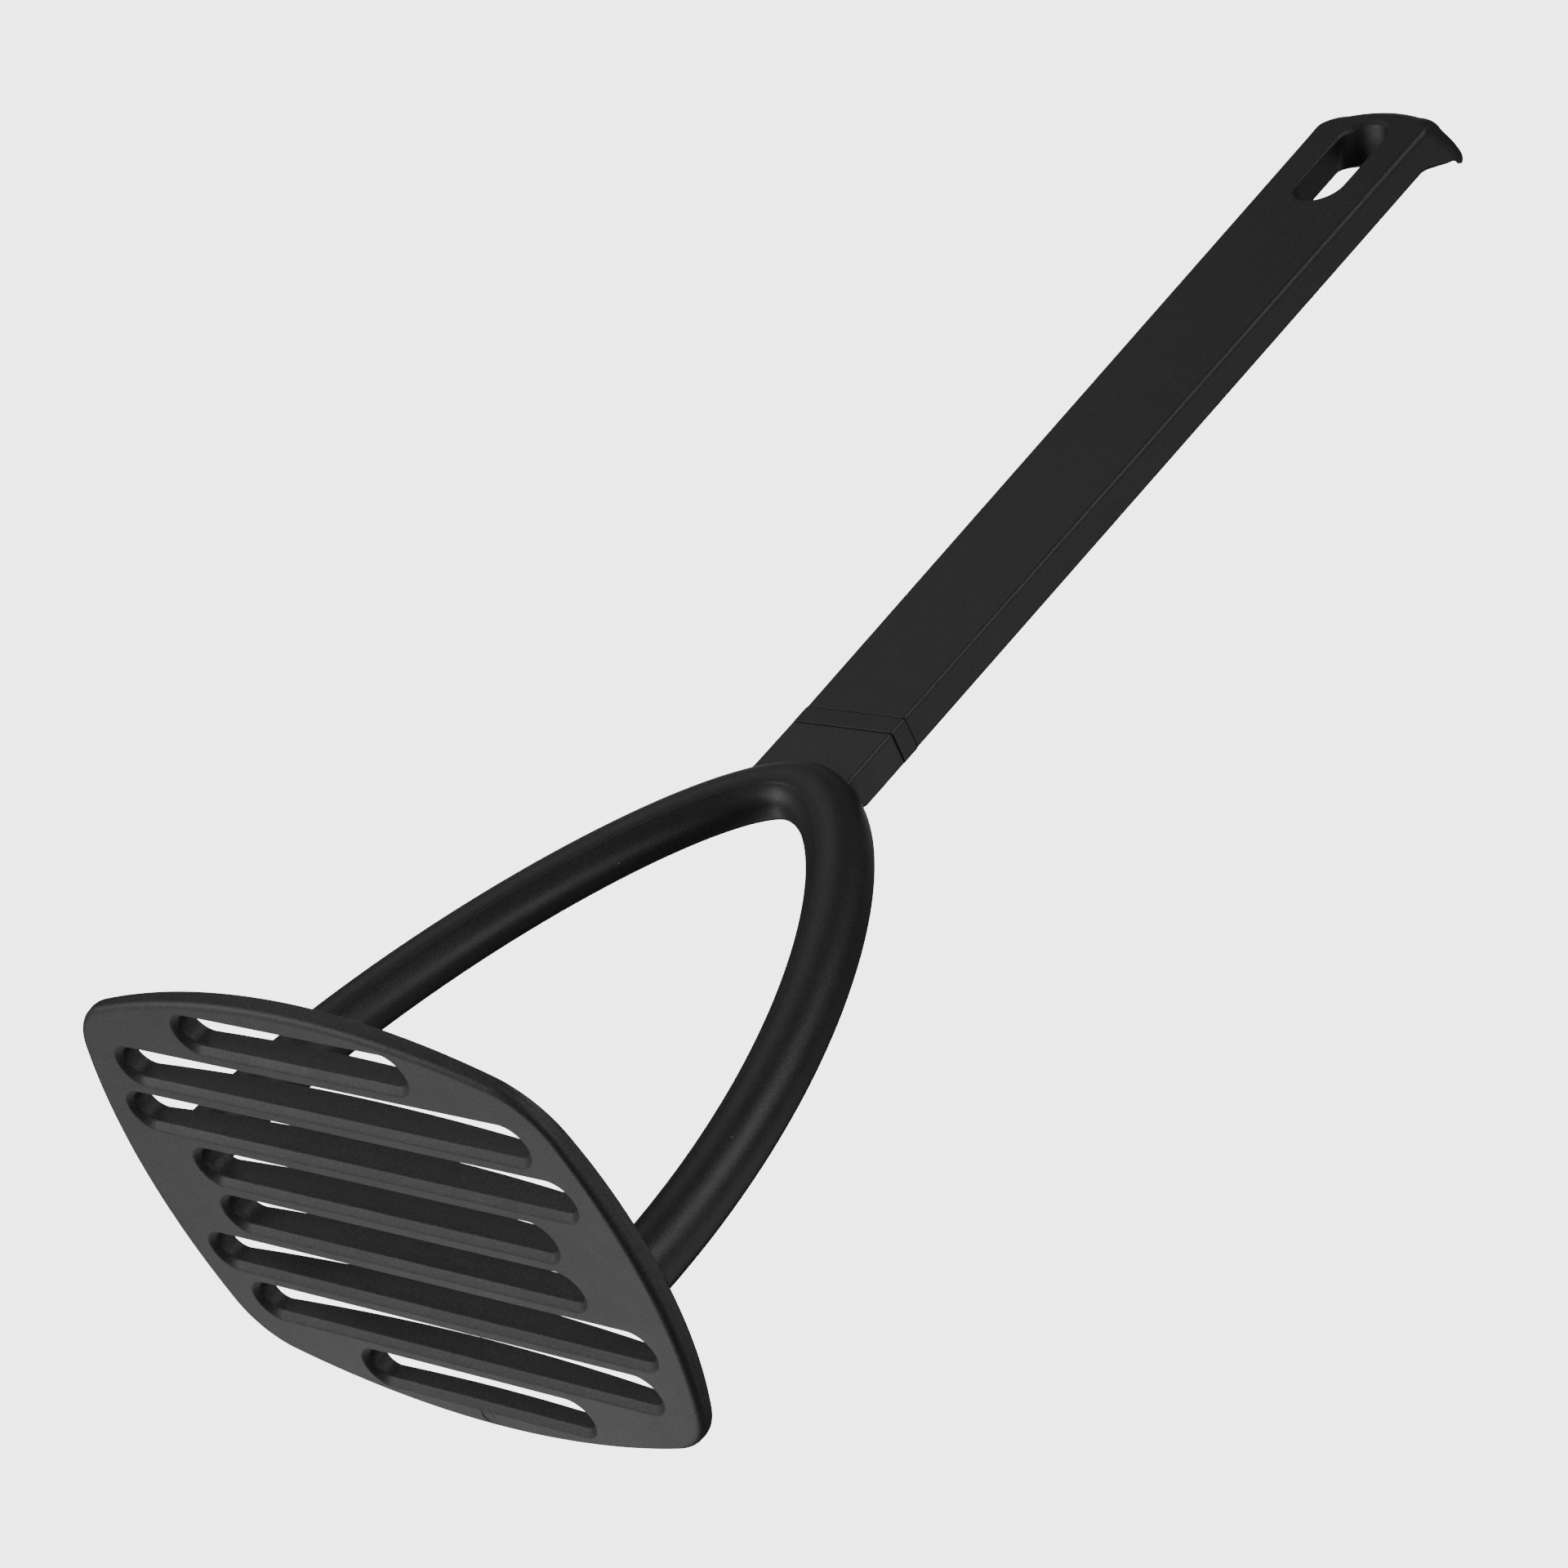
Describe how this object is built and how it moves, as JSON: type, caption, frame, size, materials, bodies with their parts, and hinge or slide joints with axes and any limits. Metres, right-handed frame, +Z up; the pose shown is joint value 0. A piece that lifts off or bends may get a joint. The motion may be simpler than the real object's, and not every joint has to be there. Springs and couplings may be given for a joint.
{
  "type": "potato_masher",
  "caption": "Hand potato masher: rounded rectangular plate with long parallel slots, a wishbone yoke rising from its two ends and a flat bar handle with a hanging slot and a hook lip.",
  "frame": {"origin": "centre of the flat working face, which lies on z = 0 when the masher stands on its plate", "axes": "+Z runs up the handle, X runs along the slots from foot to foot of the yoke, and +Y is the side the hook lip points to"},
  "size_m": [0.1, 0.0772, 0.274],
  "materials": {
    "matte_nylon": "moulded black glass-filled nylon with a fine matte texture",
    "satin_nylon": "moulded black nylon, slightly smoother, with a low satin sheen"
  },
  "bodies": {
    "root": {"press_plate": "matte_nylon", "yoke": "satin_nylon", "joint_collar": "satin_nylon", "handle": "satin_nylon"}
  },
  "joints": []
}
